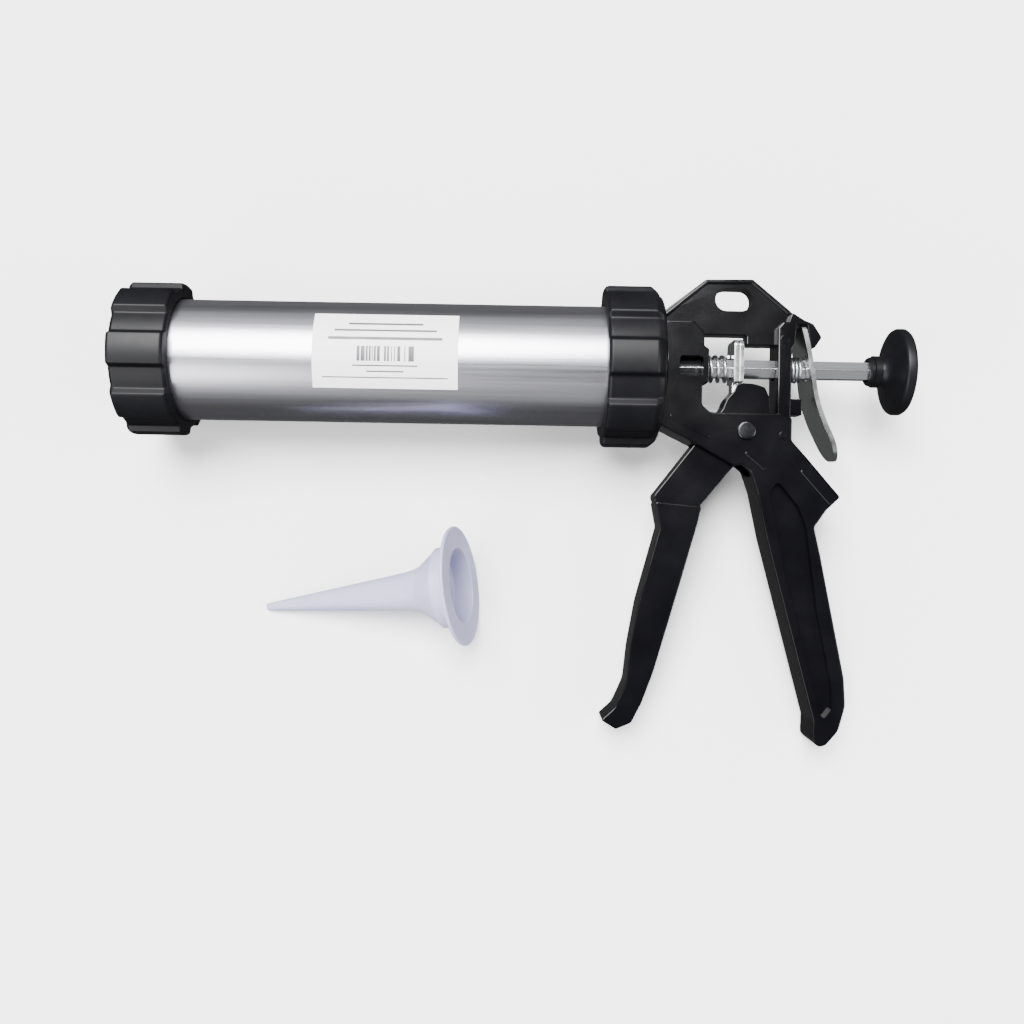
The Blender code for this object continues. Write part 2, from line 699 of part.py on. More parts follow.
def lever_spring(joint):
    start = POST_REAR + TOUCH
    end = lever_front(LEVER_COIL + LEVER_WIRE / 2) - TOUCH
    hold(coil("lever_spring", LEVER_COIL, LEVER_WIRE, start, end, LEVER_TURNS, spring_steel()), joint)


def release_lever(joint):
    """A strip of one thickness, rounded at its lower end and eased at its top corners."""
    line = [Vector(point) * MM for point in LEVER_LINE]
    half = LEVER_WIDTH / 2
    corner = 0.002
    stations = [(0.0, half - corner), (corner, half)]
    length = sum((b - a).length for a, b in zip(line, line[1:]))
    gone = 0.0
    for a, b in zip(line, line[1:]):
        gone += (b - a).length
        if gone < length - half:
            stations.append((gone, half))
    stations.append((length - half, half))
    steps = 9
    for k in range(1, steps + 1):
        a = math.radians(84) * k / steps
        stations.append((length - half + half * math.sin(a), half * math.cos(a)))
    bm = bmesh.new()
    rings = []
    for gone, wide in stations:
        point, along = point_on(line, gone)
        across = Vector((-along.y, along.x)) * (LEVER_THICKNESS / 2)
        near = point + across
        far = point - across
        ring = [(near, wide), (near, -wide), (far, -wide), (far, wide)]
        rings.append([bm.verts.new((p.x, p.y, z)) for p, z in ring])
    for one, other in zip(rings, rings[1:]):
        for k in range(4):
            after = (k + 1) % 4
            bm.faces.new((one[k], other[k], other[after], one[after]))
    bm.faces.new(rings[0])
    bm.faces.new(rings[-1])
    lever = object_from("release_lever", bm, zinc_plate())
    slack = ROD_HOLE + 0.0006
    cut(lever, joint, bar("cut_lever", slack, POST_REAR, KNOB_FRONT))
    hold(lever, joint)


def point_on(line, gone):
    """The point this far along a line of points, and the line's direction there, eased at its corners."""
    spans = [b - a for a, b in zip(line, line[1:])]
    for i, span in enumerate(spans):
        if gone <= span.length or i == len(spans) - 1:
            share = gone / span.length
            before = spans[max(i - 1, 0)].normalized()
            after = spans[min(i + 1, len(spans) - 1)].normalized()
            here = span.normalized()
            blend = (before + here) * (1 - share) + (here + after) * share
            return line[i] + span * share, blend.normalized()
        gone -= span.length
    return line[-1], spans[-1].normalized()


# ---------------------------------------------------------------- rod, piston and knob


def hexagon(across_flats):
    """Corners at the sides, so that flats lie above and below."""
    corner = across_flats / 2 / math.cos(math.pi / 6)
    return arc((0, 0), corner, math.radians(30), math.radians(330), 5)


def piston_rod(joint):
    end = KNOB_FRONT + KNOB_SOCKET - TOUCH
    rod = prism("piston_rod", hexagon(ROD_ACROSS_FLATS), STUD_END, end, rod_steel(), 0.0004, along_x=True)
    front = NUT_FRONT - 0.0015
    ease = 0.0005
    stud = [
        (front, 0), (front, STUD_RADIUS - ease), (front + ease, STUD_RADIUS), (STUD_END + 0.002, STUD_RADIUS),
        (STUD_END + 0.002, 0),
    ]  # fmt: skip
    join(rod, joint, turned("rod_stud", stud, sides=SMALL_SIDES))
    hold(rod, joint)


def piston_backplate(joint):
    hole = STUD_RADIUS + TOUCH
    outer = BORE_RADIUS - 0.0025
    rear = BACKPLATE_FRONT + BACKPLATE_THICKNESS
    profile = [(BACKPLATE_FRONT, hole), (BACKPLATE_FRONT, outer), (rear, outer), (rear, hole)]
    hold(turned("piston_backplate", profile, zinc_plate()), joint)


def piston_cup(joint):
    """A cup open to the front, whose thin skirt wipes the tube."""
    hole = STUD_RADIUS + TOUCH
    outer = BORE_RADIUS - TOUCH
    rear = CUP_FRONT + CUP_LENGTH
    floor = CUP_FRONT
    skirt = CUP_FRONT - 0.0035
    ease = 0.001
    profile = [
        (floor, hole), (floor, outer - CUP_WALL), (skirt, outer - ease), (skirt, outer),
        (skirt + 0.006, outer), (skirt + 0.007, outer - ease), (rear - 0.002, outer - ease),
        (rear, outer - 2 * ease), (rear, hole),
    ]  # fmt: skip
    hold(turned("piston_cup", profile, piston_plastic()), joint)


def piston_washer(joint):
    hole = STUD_RADIUS + TOUCH
    rear = WASHER_FRONT + WASHER_THICKNESS
    profile = [(WASHER_FRONT, hole), (WASHER_FRONT, WASHER_RADIUS), (rear, WASHER_RADIUS), (rear, hole)]
    hold(turned("piston_washer", profile, zinc_plate(), SMALL_SIDES), joint)


def piston_nut(joint):
    rear = NUT_FRONT + NUT_THICKNESS
    nut = prism("piston_nut", hexagon(NUT_ACROSS_FLATS), NUT_FRONT, rear, zinc_plate(), 0.0004, along_x=True)
    cut(nut, joint, bar("cut_nut", STUD_RADIUS + TOUCH, NUT_FRONT - 0.01, rear + 0.01))
    hold(nut, joint)


def knob(joint):
    """A pull knob: a stepped hub that flares into a disc with a low dome behind."""
    x = KNOB_FRONT
    socket = ROD_CORNER + TOUCH
    hub = socket + 0.0018
    deep = x + KNOB_SOCKET
    rim = x + 0.0115
    profile = [
        (deep, 0), (deep, socket), (x, socket), (x, hub - 0.0006), (x + 0.0006, hub - 0.0002),
        (x + 0.0020, hub - 0.0002), (x + 0.0022, hub + 0.0004), (x + 0.0052, hub + 0.0004),
        (x + 0.0056, hub - 0.0004), (x + 0.0072, hub + 0.0002), (x + 0.0088, hub + 0.0022),
        (x + 0.0100, hub + 0.0062), (rim - 0.0004, KNOB_RADIUS - 0.0014),
        (rim + 0.0004, KNOB_RADIUS - 0.0002),
        (rim + 0.0014, KNOB_RADIUS), (rim + 0.0034, KNOB_RADIUS), (rim + 0.0044, KNOB_RADIUS - 0.0007),
        (rim + 0.0058, KNOB_RADIUS - 0.0045), (rim + 0.0072, KNOB_RADIUS - 0.011), (rim + 0.0077, 0),
    ]  # fmt: skip
    hold(turned("knob", profile, black_plastic()), joint)


# ---------------------------------------------------------------- nozzle


def nozzle(joint):
    """A hollow cone with a stepped foot and a flange that the front cap clamps. Its tip points along -X."""
    foot = NOZZLE_STEP_RADIUS
    flange = NOZZLE_FLANGE_RADIUS
    wall = NOZZLE_WALL
    tip = NOZZLE_TIP_RADIUS
    length = NOZZLE_LENGTH
    outside = [
        (-length, tip), (-0.0255, 0.0088), (-0.0225, 0.0094), (-0.0190, 0.0104), (-0.0102, foot - 0.0012),
        (-0.0094, foot), (-0.0034, foot), (-0.0020, foot + 0.0014), (-0.0016, flange - 0.0004),
        (-NOZZLE_RIM, flange), (-0.0004, flange), (0.0, flange - 0.0004),
    ]  # fmt: skip
    inside = [
        (0.0, foot - wall), (-0.0088, foot - wall), (-0.0094, foot - 2 * wall), (-0.0186, 0.0104 - wall),
        (-0.0225, 0.0094 - wall), (-0.0255, 0.0088 - wall), (-length, tip - wall / 2),
    ]  # fmt: skip
    hold(turned("nozzle", outside + inside, nozzle_plastic()), joint)


# ---------------------------------------------------------------- assembly


def box_of(objects):
    """The lowest and highest corners of these objects as they stand in the world."""
    bpy.context.view_layer.update()
    graph = bpy.context.evaluated_depsgraph_get()
    corners = []
    for obj in objects:
        shown = obj.evaluated_get(graph)
        mesh = shown.to_mesh()
        corners += [shown.matrix_world @ v.co for v in mesh.vertices]
        shown.to_mesh_clear()
    lowest = Vector([min(c[i] for c in corners) for i in range(3)])
    highest = Vector([max(c[i] for c in corners) for i in range(3)])
    return lowest, highest


def settle(gun, loose):
    """Lowers the gun and the nozzle onto the surface, and centres their common box on the origin."""
    pieces = [obj for obj in bpy.data.objects if obj.type == "MESH" and not obj.hide_render]
    for holder in (gun, loose):
        held = [obj for obj in pieces if holder in parents_of(obj)]
        holder.location.z -= box_of(held)[0].z
    lowest, highest = box_of(pieces)
    centre = (lowest + highest) / 2
    for holder in (gun, loose):
        holder.location.x -= centre.x
        holder.location.y -= centre.y
    bpy.context.view_layer.update()


def parents_of(obj):
    above = []
    while obj.parent:
        obj = obj.parent
        above.append(obj)
    return above


def build():
    clear_scene()
    gun = empty("gun_rest")

    frame_casting(gun)
    rod_bush(gun)
    trigger_pin(gun)
    pin_clip(gun)
    drive_spring(gun)
    lever_spring(gun)

    rear_collar(empty("collar_turn", gun))
    barrel = empty("barrel_slide", gun)
    barrel_tube(barrel)
    barrel_label(barrel)
    cap_slide = empty("cap_slide", barrel, (-TUBE_LENGTH, 0, 0))
    cap_seal(cap_slide)
    front_cap(empty("cap_turn", cap_slide, (-TUBE_LENGTH, 0, 0)))

    trigger(empty("trigger_hinge", gun, (*PIVOT, 0)))
    plates = empty("plates_slide", gun, (PLATES_REAR, 0, 0))
    drive_plate("drive_plate_rear", PLATES_REAR, plates)
    drive_plate("drive_plate_front", PLATES_REAR - PLATE_THICKNESS - TOUCH, plates)
    lever_top = (LEVER_LINE[0][0] * MM, LEVER_LINE[0][1] * MM, 0)
    release_lever(empty("lever_hinge", gun, lever_top))

    rod = empty("rod_slide", gun)
    piston_rod(rod)
    piston_backplate(rod)
    piston_cup(rod)
    piston_washer(rod)
    piston_nut(rod)
    knob(rod)

    gun.rotation_euler = (ROLL, 0, 0)
    loose = empty("nozzle_rest")
    nozzle(loose)
    loose.rotation_euler = (0, -NOZZLE_TILT, NOZZLE_HEADING)
    loose.location = (*NOZZLE_PLACE, 0)
    settle(gun, loose)


build()
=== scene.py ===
import json
import math

import bpy
from mathutils import Matrix, Vector


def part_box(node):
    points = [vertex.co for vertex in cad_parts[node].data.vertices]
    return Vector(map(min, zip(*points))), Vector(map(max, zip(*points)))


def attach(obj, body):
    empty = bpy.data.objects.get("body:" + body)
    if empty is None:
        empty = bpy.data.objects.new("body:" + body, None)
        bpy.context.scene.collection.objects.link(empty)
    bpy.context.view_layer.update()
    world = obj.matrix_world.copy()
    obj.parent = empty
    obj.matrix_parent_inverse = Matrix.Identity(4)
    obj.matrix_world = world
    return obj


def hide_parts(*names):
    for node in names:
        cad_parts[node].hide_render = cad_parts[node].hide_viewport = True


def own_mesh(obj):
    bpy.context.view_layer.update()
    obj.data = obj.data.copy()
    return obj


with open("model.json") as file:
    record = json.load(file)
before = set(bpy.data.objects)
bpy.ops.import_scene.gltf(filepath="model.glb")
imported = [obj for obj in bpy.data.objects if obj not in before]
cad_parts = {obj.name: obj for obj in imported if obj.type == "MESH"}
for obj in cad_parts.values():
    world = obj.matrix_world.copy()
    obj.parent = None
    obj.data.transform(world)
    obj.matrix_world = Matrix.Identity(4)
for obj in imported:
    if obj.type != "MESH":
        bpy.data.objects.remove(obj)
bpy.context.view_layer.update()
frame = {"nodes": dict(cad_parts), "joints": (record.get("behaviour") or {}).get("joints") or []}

# ---------------------------------------------------------------- barrel tube
# Drawn aluminium tube with a satin finish. The fine lines run lengthwise from the drawing die, and both
# ends carry a shallow rolled thread, which the ring nuts cover.

# The gun lies rolled about X. Its pieces are made in its own axes, and each is then turned to where the gun
# lies: X runs back from the tube's rear end, Y from the handle up to the barrel, Z out of the left side.
hinge = next(joint for joint in frame["joints"] if joint["name"] == "trigger_squeeze")
ACROSS = Vector(hinge["axis"]).normalized()
ALONG = Vector((1, 0, 0))
tube_low, tube_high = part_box("barrel_tube")
ORIGIN = Vector((tube_high.x, (tube_low.y + tube_high.y) / 2, (tube_low.z + tube_high.z) / 2))
TURN = Matrix((ALONG, ACROSS.cross(ALONG), ACROSS)).transposed()
GUN = Matrix.Translation(ORIGIN) @ TURN.to_4x4()
TUBE_RADIUS = 0.027
TUBE_WALL = 0.0012
TUBE_LENGTH = tube_high.x - tube_low.x
THREAD_PITCH = 0.004
THREAD_TURNS = 4
THREAD_LEAD = 0.6  # from the tube's end to the first ring, in pitches
THREAD_HEIGHT = 0.0002
THREAD_FORM = ((0.0, 0.0), (0.15, THREAD_HEIGHT), (0.35, THREAD_HEIGHT), (0.5, 0.0))  # pitches along, height
SMOOTH_ANGLE = math.radians(32)  # a sharper edge stays an edge


def only(piece):
    """Selects this piece alone."""
    bpy.ops.object.select_all(action="DESELECT")
    piece.select_set(True)
    bpy.context.view_layer.objects.active = piece


def seat(piece, place=GUN):
    """Turns a piece made in the gun's axes, or the nozzle's, to where it lies."""
    piece.matrix_world = place @ piece.matrix_world
    only(piece)
    bpy.ops.object.transform_apply(location=True, rotation=True, scale=True)


def changed(piece, kind, **settings):
    """Adds a modifier with these settings and applies it."""
    only(piece)
    made = piece.modifiers.new(kind, kind)
    for name, value in settings.items():
        setattr(made, name, value)
    bpy.ops.object.modifier_apply(modifier=made.name)


def eased(piece, width, segments=3, angle=30):
    """Rounds every edge sharper than the angle."""
    changed(
        piece,
        "BEVEL",
        width=width,
        segments=segments,
        limit_method="ANGLE",
        angle_limit=math.radians(angle),
        miter_outer="MITER_ARC",
    )


def mounted(piece, name, finish, body, slot, *nodes):
    """Names and smooths a piece, gives it its finish, and sets it on its body in place of CAD nodes."""
    piece.name = name
    piece.data.name = name
    piece.data.materials.clear()
    piece.data.materials.append(finish)
    only(piece)
    bpy.ops.object.shade_smooth_by_angle(angle=SMOOTH_ANGLE)
    changed(piece, "WEIGHTED_NORMAL", mode="FACE_AREA", weight=50, keep_sharp=True)
    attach(piece, body)
    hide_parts(*nodes)


def turned(name, profile, sides=144, solid=False):
    """A profile of (x, radius) corners turned about X, each ring drawn out of the one before."""
    bpy.ops.object.select_all(action="DESELECT")
    x, radius = profile[0]
    bpy.ops.mesh.primitive_circle_add(
        vertices=sides, radius=radius, location=(x, 0, 0), rotation=(0, math.pi / 2, 0)
    )
    piece = bpy.context.object
    piece.name = name
    bpy.ops.object.transform_apply(location=True, rotation=True, scale=True)
    bpy.ops.object.mode_set(mode="EDIT")
    bpy.ops.mesh.select_mode(type="VERT")
    bpy.ops.mesh.select_all(action="SELECT")
    if solid:
        bpy.ops.mesh.edge_face_add()
        bpy.ops.mesh.select_all(action="SELECT")
    stations = profile if solid else profile + profile[:1]
    for (x0, r0), (x1, r1) in zip(stations, stations[1:]):
        bpy.ops.mesh.extrude_region_move(TRANSFORM_OT_translate={"value": (x1 - x0, 0, 0)})
        bpy.ops.transform.resize(value=(1, r1 / r0, r1 / r0), center_override=(x1, 0, 0))
    bpy.ops.mesh.select_all(action="SELECT")
    bpy.ops.mesh.remove_doubles(threshold=TUBE_WALL / 100)
    bpy.ops.mesh.normals_make_consistent(inside=False)
    bpy.ops.object.mode_set(mode="OBJECT")
    return piece


def new_group(name, inputs, outputs):
    """An empty shader group with named number inputs, given with their defaults, and outputs."""
    tree = bpy.data.node_groups.new(name, "ShaderNodeTree")
    for socket, value in inputs.items():
        made = tree.interface.new_socket(name=socket, in_out="INPUT", socket_type="NodeSocketFloat")
        made.default_value = value
    for socket in outputs:
        tree.interface.new_socket(name=socket, in_out="OUTPUT", socket_type="NodeSocketFloat")
    return tree, tree.nodes.new("NodeGroupInput"), tree.nodes.new("NodeGroupOutput")


def noise(tree, vector, scale, detail, rough=0.5):
    """The value of a noise texture, whose scale is a number or a socket."""
    node = tree.nodes.new("ShaderNodeTexNoise")
    node.inputs["Detail"].default_value = detail
    node.inputs["Roughness"].default_value = rough
    tree.links.new(vector, node.inputs["Vector"])
    if isinstance(scale, (int, float)):
        node.inputs["Scale"].default_value = scale
    else:
        tree.links.new(scale, node.inputs["Scale"])
    return node.outputs["Fac"]


def reckon(tree, operation, first, second=0.0, third=0.0):
    """The result of a sum on numbers or sockets."""
    node = tree.nodes.new("ShaderNodeMath")
    node.operation = operation
    for socket, value in zip(node.inputs, (first, second, third)):
        if isinstance(value, (int, float)):
            socket.default_value = value
        else:
            tree.links.new(value, socket)
    return node.outputs[0]


def drawn_lines():
    """Lines along X, as a drawing die leaves them, and slow changes of sheen between them."""
    tree, given, out = new_group("drawn_lines", {"Fineness": 900.0}, ("Height", "Shade"))
    place = tree.nodes.new("ShaderNodeTexCoord").outputs["Object"]
    stretch = tree.nodes.new("ShaderNodeVectorMath")
    stretch.operation = "MULTIPLY"
    stretch.inputs[1].default_value = (0.012, 1.0, 1.0)
    tree.links.new(place, stretch.inputs[0])
    fine = noise(tree, stretch.outputs[0], given.outputs["Fineness"], 4.0, 0.6)
    slow = noise(tree, stretch.outputs[0], 90.0, 2.0)
    tree.links.new(fine, out.inputs["Height"])
    shade = reckon(tree, "MULTIPLY_ADD", slow, 0.5, reckon(tree, "MULTIPLY", fine, 0.5))
    tree.links.new(shade, out.inputs["Shade"])
    return tree


DRAWN = drawn_lines()


def finish(name, group, low, high, roughness, bump, metallic=0.0, fineness=None, **constants):
    """A Principled finish whose colour and roughness run between two values with a group's shade."""
    made = bpy.data.materials.new(name)
    made.use_nodes = True
    tree = made.node_tree
    shader = tree.nodes["Principled BSDF"]
    shader.inputs["Metallic"].default_value = metallic
    for socket, value in constants.items():
        shader.inputs[socket.replace("_", " ")].default_value = value
    effect = tree.nodes.new("ShaderNodeGroup")
    effect.node_tree = group
    for socket, value in (fineness or {}).items():
        effect.inputs[socket].default_value = value
    colour = tree.nodes.new("ShaderNodeMix")
    colour.data_type = "RGBA"
    colour.inputs["A"].default_value = (*low, 1)
    colour.inputs["B"].default_value = (*high, 1)
    tree.links.new(effect.outputs["Shade"], colour.inputs["Factor"])
    tree.links.new(colour.outputs["Result"], shader.inputs["Base Color"])
    sheen = tree.nodes.new("ShaderNodeMapRange")
    sheen.inputs["From Min"].default_value = 0.3
    sheen.inputs["From Max"].default_value = 0.7
    sheen.inputs["To Min"].default_value = roughness[0]
    sheen.inputs["To Max"].default_value = roughness[1]
    tree.links.new(effect.outputs["Shade"], sheen.inputs["Value"])
    tree.links.new(sheen.outputs["Result"], shader.inputs["Roughness"])
    relief = tree.nodes.new("ShaderNodeBump")
    relief.inputs["Strength"].default_value = 1.0
    relief.inputs["Distance"].default_value = bump
    tree.links.new(effect.outputs["Height"], relief.inputs["Height"])
    tree.links.new(relief.outputs["Normal"], shader.inputs["Normal"])
    return made


satin_aluminium = finish(
    "satin_aluminium", DRAWN, (0.42, 0.42, 0.46), (0.54, 0.54, 0.58), (0.26, 0.38), 0.00002, 1.0
)


def thread(start, step):
    """Rings of a rolled thread, which stand a little proud of the tube."""
    rings = []
    for turn in range(THREAD_TURNS):
        x = start + step * (turn + THREAD_LEAD)
        rings += [(x + step * share, TUBE_RADIUS + proud) for share, proud in THREAD_FORM]
    return rings


bore = TUBE_RADIUS - TUBE_WALL
outside = [(-TUBE_LENGTH, TUBE_RADIUS), *thread(-TUBE_LENGTH, THREAD_PITCH)]
outside += [*reversed(thread(0, -THREAD_PITCH)), (0, TUBE_RADIUS)]
tube = turned("tube", [(-TUBE_LENGTH, bore), *outside, (0, bore)], sides=192)
eased(tube, 0.00025, 2, 60)
seat(tube)
mounted(tube, "tube", satin_aluminium, "barrel", "satin_aluminium", "barrel_tube")

# ---------------------------------------------------------------- label
# White self-adhesive paper wrapped on the tube's left side. Grey rules and a block of bars stand in for
# its print.

LABEL_FRONT, LABEL_REAR = (corner.x - ORIGIN.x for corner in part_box("barrel_label"))
LABEL_LOW = math.radians(-30.7)
LABEL_HIGH = math.radians(41.8)
LABEL_THICKNESS = 0.0002
LABEL_GAP = 0.0003  # between the tube and the paper
PRINT_MIDDLE = (LABEL_FRONT + LABEL_REAR) / 2
ROLL = math.atan2(-ACROSS.y, ACROSS.z)
BARS_PER_METRE = 2300.0
BAR_BLOCK = (0.0125, -0.0030, 0.0035)  # half its length, its lower edge and its upper edge
RULES = (
    (0.0160, 0.0130, 0.0139), (0.0220, 0.0100, 0.0109), (0.0245, 0.0062, 0.0075), (0.0140, -0.0052, -0.0046),
    (0.0080, -0.0076, -0.0070), (0.0270, -0.0101, -0.0096),
)


def moulded_skin():
    """The fine grain of a moulded or cast surface, and its slower unevenness."""
    tree, given, out = new_group("moulded_skin", {"Grain": 1200.0, "Unevenness": 120.0}, ("Height", "Shade"))
    place = tree.nodes.new("ShaderNodeTexCoord").outputs["Object"]
    fine = noise(tree, place, given.outputs["Grain"], 2.0)
    slow = noise(tree, place, given.outputs["Unevenness"], 3.0)
    height = reckon(tree, "MULTIPLY_ADD", slow, 0.7, reckon(tree, "MULTIPLY", fine, 0.3))
    tree.links.new(height, out.inputs["Height"])
    tree.links.new(slow, out.inputs["Shade"])
    return tree


SKIN = moulded_skin()


def paper():
    """White paper with its print laid over it in dark grey."""
    made = finish("label_paper", SKIN, (0.84, 0.84, 0.86), (0.92, 0.92, 0.93), (0.38, 0.5), 0.000008)
    tree = made.node_tree
    shader = tree.nodes["Principled BSDF"]
    place = tree.nodes.new("ShaderNodeMapping")
    place.inputs["Rotation"].default_value = (-ROLL, 0, 0)
    place.inputs["Location"].default_value = -(TURN.transposed() @ ORIGIN)
    tree.links.new(tree.nodes.new("ShaderNodeTexCoord").outputs["Object"], place.inputs["Vector"])
    parts = tree.nodes.new("ShaderNodeSeparateXYZ")
    tree.links.new(place.outputs[0], parts.inputs[0])
    along, up = parts.outputs["X"], parts.outputs["Y"]

    def patch(half_length, low, high):
        """1 within a printed block centred on the label, and 0 outside it."""
        across = reckon(tree, "COMPARE", along, PRINT_MIDDLE, half_length)
        upward = reckon(tree, "COMPARE", up, (low + high) / 2, (high - low) / 2)
        return reckon(tree, "MULTIPLY", across, upward)

    bars = reckon(tree, "FLOOR", reckon(tree, "MULTIPLY", along, BARS_PER_METRE))
    irregular = tree.nodes.new("ShaderNodeTexWhiteNoise")
    irregular.noise_dimensions = "1D"
    tree.links.new(bars, irregular.inputs["W"])
    block = reckon(tree, "GREATER_THAN", irregular.outputs["Value"], 0.45)
    ink = reckon(tree, "MULTIPLY", block, patch(*BAR_BLOCK))
    for rule in RULES:
        ink = reckon(tree, "MAXIMUM", ink, patch(*rule))
    printed = tree.nodes.new("ShaderNodeMix")
    printed.data_type = "RGBA"
    printed.inputs["B"].default_value = (0.03, 0.03, 0.04, 1)
    tree.links.new(reckon(tree, "MULTIPLY", ink, 0.95), printed.inputs["Factor"])
    tree.links.new(shader.inputs["Base Color"].links[0].from_socket, printed.inputs["A"])
    tree.links.new(printed.outputs["Result"], shader.inputs["Base Color"])
    return made


def chosen(piece, kind, test):
    """Selects the VERT, EDGE or FACE elements that pass the test, in edit mode, ready for an operator."""
    only(piece)
    bpy.ops.object.mode_set(mode="EDIT")
    bpy.ops.mesh.select_mode(type=kind)
    bpy.ops.mesh.select_all(action="DESELECT")
    bpy.ops.object.mode_set(mode="OBJECT")
    mesh = piece.data
    for element in {"VERT": mesh.vertices, "EDGE": mesh.edges, "FACE": mesh.polygons}[kind]:
        element.select = test(element)
    bpy.ops.object.mode_set(mode="EDIT")


def bare(face):
    """Whether a face of the sleeve lies outside the label's upper and lower edges."""
    return not LABEL_LOW < math.atan2(face.center.y, face.center.z) < LABEL_HIGH


inner = TUBE_RADIUS + LABEL_GAP
label = turned("label", [(LABEL_FRONT, inner), (LABEL_REAR, inner)], sides=288)
chosen(label, "FACE", bare)
bpy.ops.mesh.delete(type="FACE")
bpy.ops.mesh.select_all(action="SELECT")
bpy.ops.mesh.normals_make_consistent(inside=False)
bpy.ops.object.mode_set(mode="OBJECT")
if label.data.polygons[0].normal.dot(label.data.polygons[0].center * Vector((0, 1, 1))) < 0:
    label.data.flip_normals()
changed(label, "SOLIDIFY", thickness=LABEL_THICKNESS, offset=1.0)
seat(label)
mounted(label, "label", paper(), "barrel", "label_paper", "barrel_label")

# ---------------------------------------------------------------- front cap and rear collar
# Ring nuts moulded in black plastic, each with eight grip lobes. The cap holds the nozzle's flange in its
# mouth, and the collar clamps the tube to the casting's flange.

LOBES = 8
LOBE_STEPS = 16
LOBE_TOP = math.radians(11.5)  # half of a lobe's top
LOBE_FOOT = math.radians(13.0)
NUT_EDGE = 0.0007
CAP_BORE = TUBE_RADIUS + 0.00035  # the thread's clearance over the tube
LIP = 0.003  # each nut's inward lip, along the barrel
MOUTH = 0.0189
COLLAR_BORE = 0.01835
black_plastic = finish(
    "black_plastic", SKIN, (0.002, 0.002, 0.0025), (0.0045, 0.0045, 0.006), (0.38, 0.44), 0.00002,
    fineness={"Grain": 1500.0, "Unevenness": 120.0}, Specular_IOR_Level=0.18,
)


def ring_nut(name, outside, bore):
    """A turned ring, its outer rings of (x, radius, lobe radius) drawn out into lobes with sloped flanks."""
    nut = turned(name, [(x, radius) for x, radius, lobe in outside] + bore, sides=LOBES * LOBE_STEPS)
    pitch = 2 * math.pi / LOBES
    for x, radius, lobe in outside:
        halfway = (radius + lobe) / 2
        for reach, grown in ((LOBE_FOOT, halfway / radius), (LOBE_TOP, lobe / halfway)):

            def on_lobe(vertex):
                point = vertex.co
                lean = (math.atan2(point.z, point.y) + pitch / 2) % pitch - pitch / 2
                outer = math.hypot(point.y, point.z) > radius * 0.99
                return outer and abs(point.x - x) < 0.00001 and abs(lean) < reach

            chosen(nut, "VERT", on_lobe)
            bpy.ops.transform.resize(value=(1, grown, grown), center_override=(x, 0, 0))
            bpy.ops.object.mode_set(mode="OBJECT")
    eased(nut, NUT_EDGE, 3, 28)
    seat(nut)
    return nut


cap_front, cap_rear = (corner.x - ORIGIN.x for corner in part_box("front_cap"))
cap_outside = [
    (cap_front, 0.0283, 0.0286), (cap_front + 0.0003, 0.0299, 0.0325), (cap_front + 0.0017, 0.0315, 0.0342),
    (cap_rear - 0.0008, 0.0315, 0.0342), (cap_rear, 0.0307, 0.0334),
]
cap_bore = [
    (cap_rear, CAP_BORE), (cap_front + LIP, CAP_BORE), (cap_front + LIP, MOUTH), (cap_front + 0.0008, MOUTH),
    (cap_front, MOUTH + 0.0008),
]
cap = ring_nut("cap", cap_outside, cap_bore)
mounted(cap, "cap", black_plastic, "cap", "black_plastic", "front_cap")

collar_front, collar_rear = (corner.x - ORIGIN.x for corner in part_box("rear_collar"))
collar_outside = [
    (collar_front, 0.0324, 0.0351), (collar_front + 0.0012, 0.0336, 0.0363),
    (collar_rear - 0.0042, 0.0336, 0.0363), (collar_rear - 0.0012, 0.0324, 0.0339),
    (collar_rear, 0.0312, 0.0315),
]
collar_bore = [
    (collar_rear, COLLAR_BORE), (collar_rear - LIP, COLLAR_BORE), (collar_rear - LIP, CAP_BORE),
    (collar_front, CAP_BORE),
]
collar = ring_nut("collar", collar_outside, collar_bore)
mounted(collar, "collar", black_plastic, "collar", "black_plastic", "rear_collar")

# ---------------------------------------------------------------- cap seal
# A flat ring stamped from rubber sheet. The cap's lip presses it against the tube's front end, so that
# nothing leaks past the thread.

SEAL_BORE = 0.0202
seal_front, seal_rear = (corner.x - ORIGIN.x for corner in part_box("cap_seal"))
seal = turned("seal", [
    (seal_front, SEAL_BORE), (seal_front, TUBE_RADIUS), (seal_rear, TUBE_RADIUS), (seal_rear, SEAL_BORE),
])
eased(seal, 0.0002)
seat(seal)
seal_rubber = finish("seal_rubber", SKIN, (0.018, 0.018, 0.018), (0.035, 0.035, 0.035), (0.6, 0.75), 0.00003)
mounted(seal, "seal", seal_rubber, "cap_ring", "seal_rubber", "cap_seal")

# ---------------------------------------------------------------- casting
# The frame is one die casting under glossy black enamel: flange, block, hang plate, post, lever lug,
# cheeks and handle. Raised beads stiffen the plate's edge, the strut and the handle's shoulder.

MM = 0.001
BLOCK_HALF = 0.0105
PLATE_HALF = 0.004
POST_HALF = 0.008
PLATE_BEADS = (((9.6, 24.2), (26.8, 38.4)), ((27.2, 38.7), (47.4, 39.0)), ((48.0, 38.6), (63.8, 25.7)))
BLOCK_BEADS = (((11.0, -22.6), (27.5, -31.4)), ((69.6, -46.4), (82.2, -60.2)), ((44.8, -38.6), (52.6, -45.2)))
black_enamel = finish(
    "black_enamel", SKIN, (0.001, 0.001, 0.0014), (0.0025, 0.0025, 0.0035), (0.15, 0.21), 0.00002,
    fineness={"Grain": 700.0, "Unevenness": 60.0}, Specular_IOR_Level=0.28,
)


